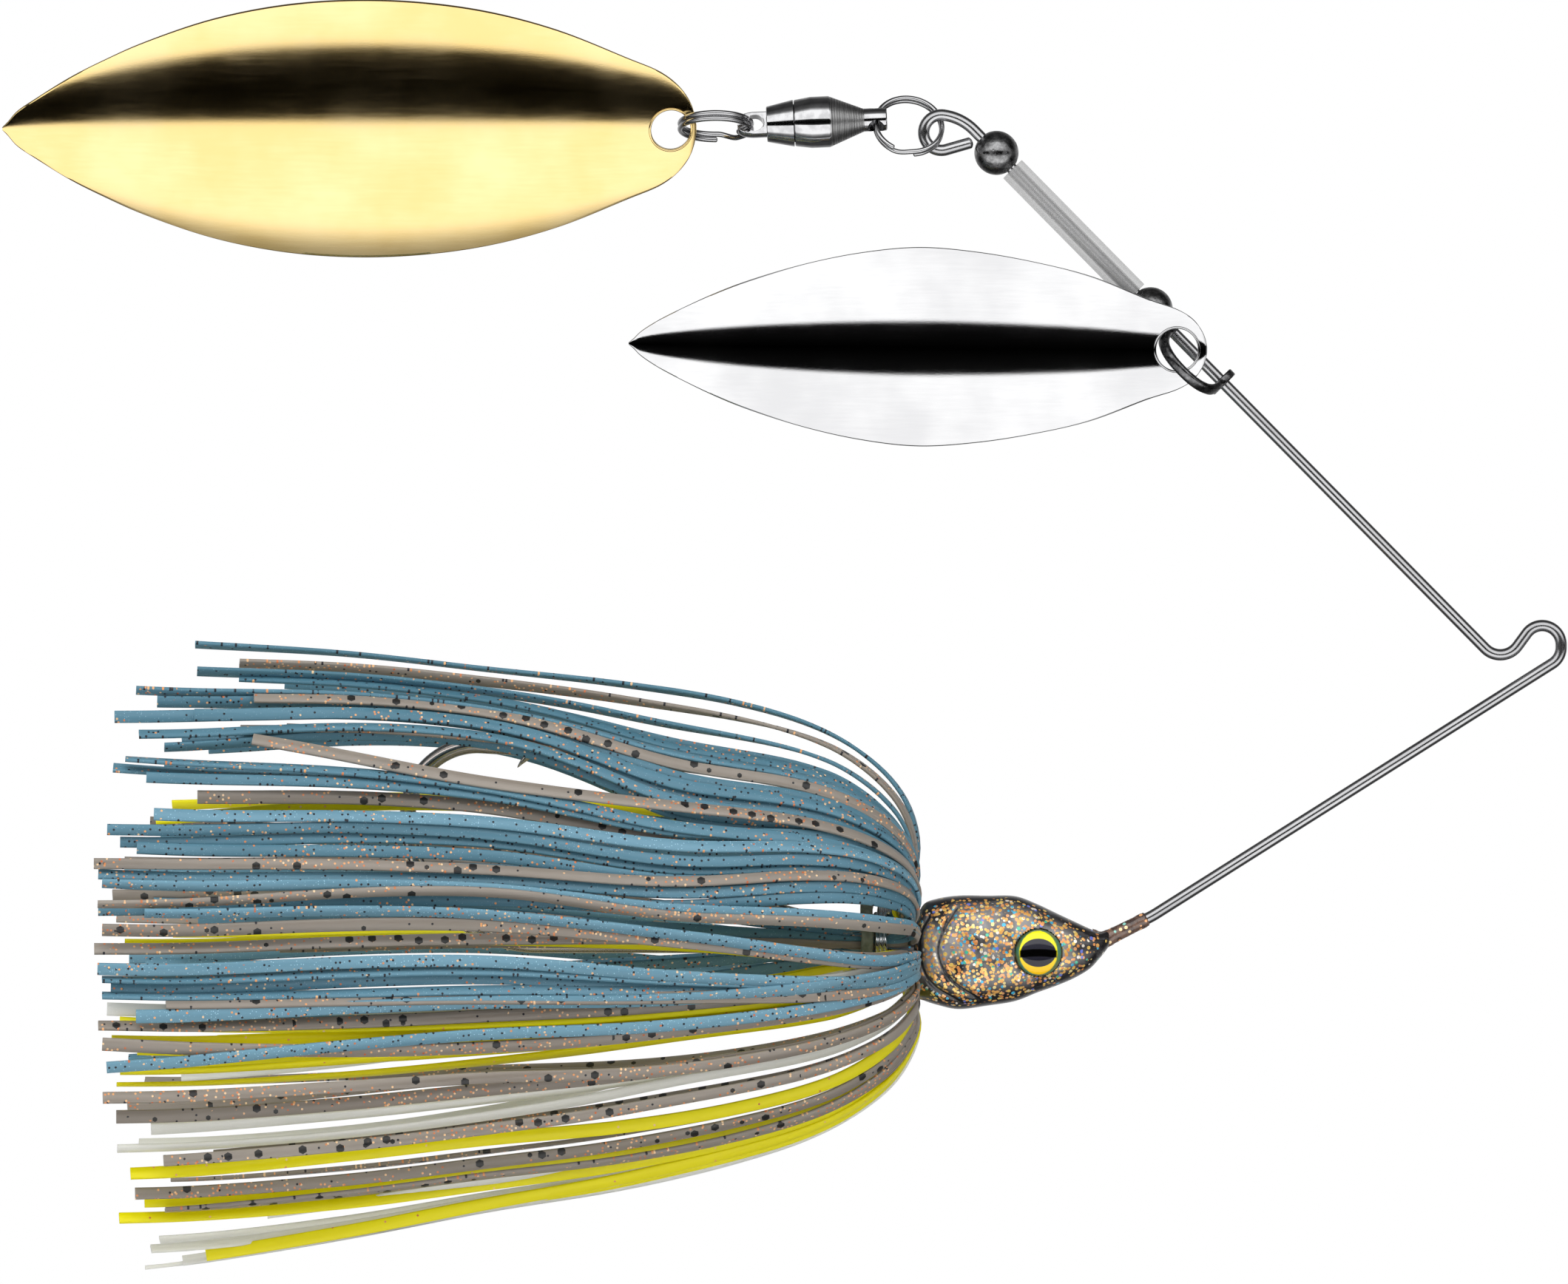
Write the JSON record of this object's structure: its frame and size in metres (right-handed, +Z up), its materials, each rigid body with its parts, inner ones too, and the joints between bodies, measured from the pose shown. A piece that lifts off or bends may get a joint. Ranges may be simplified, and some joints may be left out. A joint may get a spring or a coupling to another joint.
{
  "type": "spinnerbait lure",
  "caption": "Fishing lure with a bent wire arm, painted lead head and hook under a flared silicone skirt, and two willow-leaf blades, on a clevis and on a ball-bearing swivel.",
  "frame": {"origin": "centre of the R-bend line tie, on the wire's middle plane", "axes": "+X forwards towards the line tie, +Z up towards the hook point and the blades, Y square to the plane of the wire, hook and head"},
  "size_m": [0.1343, 0.0468, 0.1096],
  "materials": {
    "wire": "drawn stainless wire, semi-bright",
    "head_paint": "smoke paint full of copper and blue glitter under clear gloss",
    "hook_nickel": "bright nickel",
    "eye_print": "printed yellow iris and black pupil",
    "eye_lens": "clear domed resin",
    "band_rubber": "matt translucent rubber",
    "tie_wire": "bright soft wire",
    "silicone_blue": "pearly silicone with fine black and copper fleck",
    "silicone_smoke": "translucent silicone with black hexagonal flake and copper fleck",
    "silicone_chartreuse": "satin silicone",
    "silicone_pearl": "pearly translucent silicone",
    "sleeve_vinyl": "clear vinyl tube",
    "bead_gunmetal": "black nickel",
    "clevis_nickel": "black nickel, a little scuffed",
    "blade_silver": "mirror nickel",
    "blade_gold": "polished gold plate",
    "ring_nickel": "nickel spring wire",
    "swivel_nickel": "black nickel, turned taper",
    "ball_steel": "polished steel"
  },
  "bodies": {
    "wire_form": {"wire_frame": "wire", "head": "head_paint", "hook": "hook_nickel", "eye_iris_near": "eye_print", "eye_iris_far": "eye_print", "eye_lens_near": "eye_lens", "eye_lens_far": "eye_lens", "skirt_band": "band_rubber", "skirt_tie_wire": "tie_wire", "skirt_blue": "silicone_blue", "skirt_smoke": "silicone_smoke", "skirt_chartreuse": "silicone_chartreuse", "skirt_pearl": "silicone_pearl", "spacer_sleeve": "sleeve_vinyl"},
    "upper_bead": {"upper_bead": "bead_gunmetal"},
    "lower_bead": {"lower_bead": "bead_gunmetal"},
    "clevis": {"clevis": "clevis_nickel"},
    "silver_blade": {"silver_blade": "blade_silver"},
    "arm_ring": {"arm_ring": "ring_nickel"},
    "swivel_barrel": {"swivel_barrel": "swivel_nickel", "swivel_cap": "swivel_nickel"},
    "swivel_post": {"swivel_post": "swivel_nickel"},
    "bearing_balls": {"bearing_balls": "ball_steel"},
    "split_ring": {"split_ring": "ring_nickel"},
    "gold_blade": {"gold_blade": "blade_gold"}
  },
  "joints": [
    {"name": "upper_bead_spin", "type": "hinge", "parent": "wire_form", "child": "upper_bead", "pos_m": [-0.04685, 0, 0.04221], "axis": [0.7022, 0, -0.712], "continuous": true},
    {"name": "lower_bead_slide", "type": "slide", "parent": "wire_form", "child": "lower_bead", "axis": [0.7022, 0, -0.712], "range_m": [0, 0.029]},
    {"name": "clevis_spin", "type": "hinge", "parent": "lower_bead", "child": "clevis", "pos_m": [-0.02965, 0, 0.02476], "axis": [0.7022, 0, -0.712], "continuous": true},
    {"name": "silver_blade_swing", "type": "hinge", "parent": "clevis", "child": "silver_blade", "pos_m": [-0.03141, -0.0029, 0.02527], "axis": [0, 1, 0], "range_deg": [-35, 20]},
    {"name": "arm_ring_swing", "type": "hinge", "parent": "wire_form", "child": "arm_ring", "pos_m": [-0.05158, 0, 0.04395], "axis": [0, 1, 0], "range_deg": [-20, 60]},
    {"name": "swivel_swing", "type": "hinge", "parent": "arm_ring", "child": "swivel_barrel", "pos_m": [-0.0572, 0, 0.04507], "axis": [0.1581, 0.5878, 0.7934], "range_deg": [-40, 40]},
    {"name": "swivel_spin", "type": "hinge", "parent": "swivel_barrel", "child": "swivel_post", "pos_m": [-0.0572, 0, 0.04507], "axis": [-0.999, 0, -0.0436], "continuous": true},
    {"name": "ball_roll", "type": "hinge", "parent": "swivel_barrel", "child": "bearing_balls", "pos_m": [-0.0572, 0, 0.04507], "axis": [-0.999, 0, -0.0436], "continuous": true},
    {"name": "split_ring_swing", "type": "hinge", "parent": "swivel_post", "child": "split_ring", "pos_m": [-0.06759, 0, 0.04462], "axis": [0.012, 0.9613, -0.2754], "range_deg": [-35, 60]},
    {"name": "gold_blade_swing", "type": "hinge", "parent": "split_ring", "child": "gold_blade", "pos_m": [-0.0748, 0, 0.0443], "axis": [0, 0.9848, 0.1736], "range_deg": [-30, 60]}
  ],
  "couplings": [
    {"joint": "ball_roll", "follows": "swivel_spin", "ratio": 0.5}
  ]
}
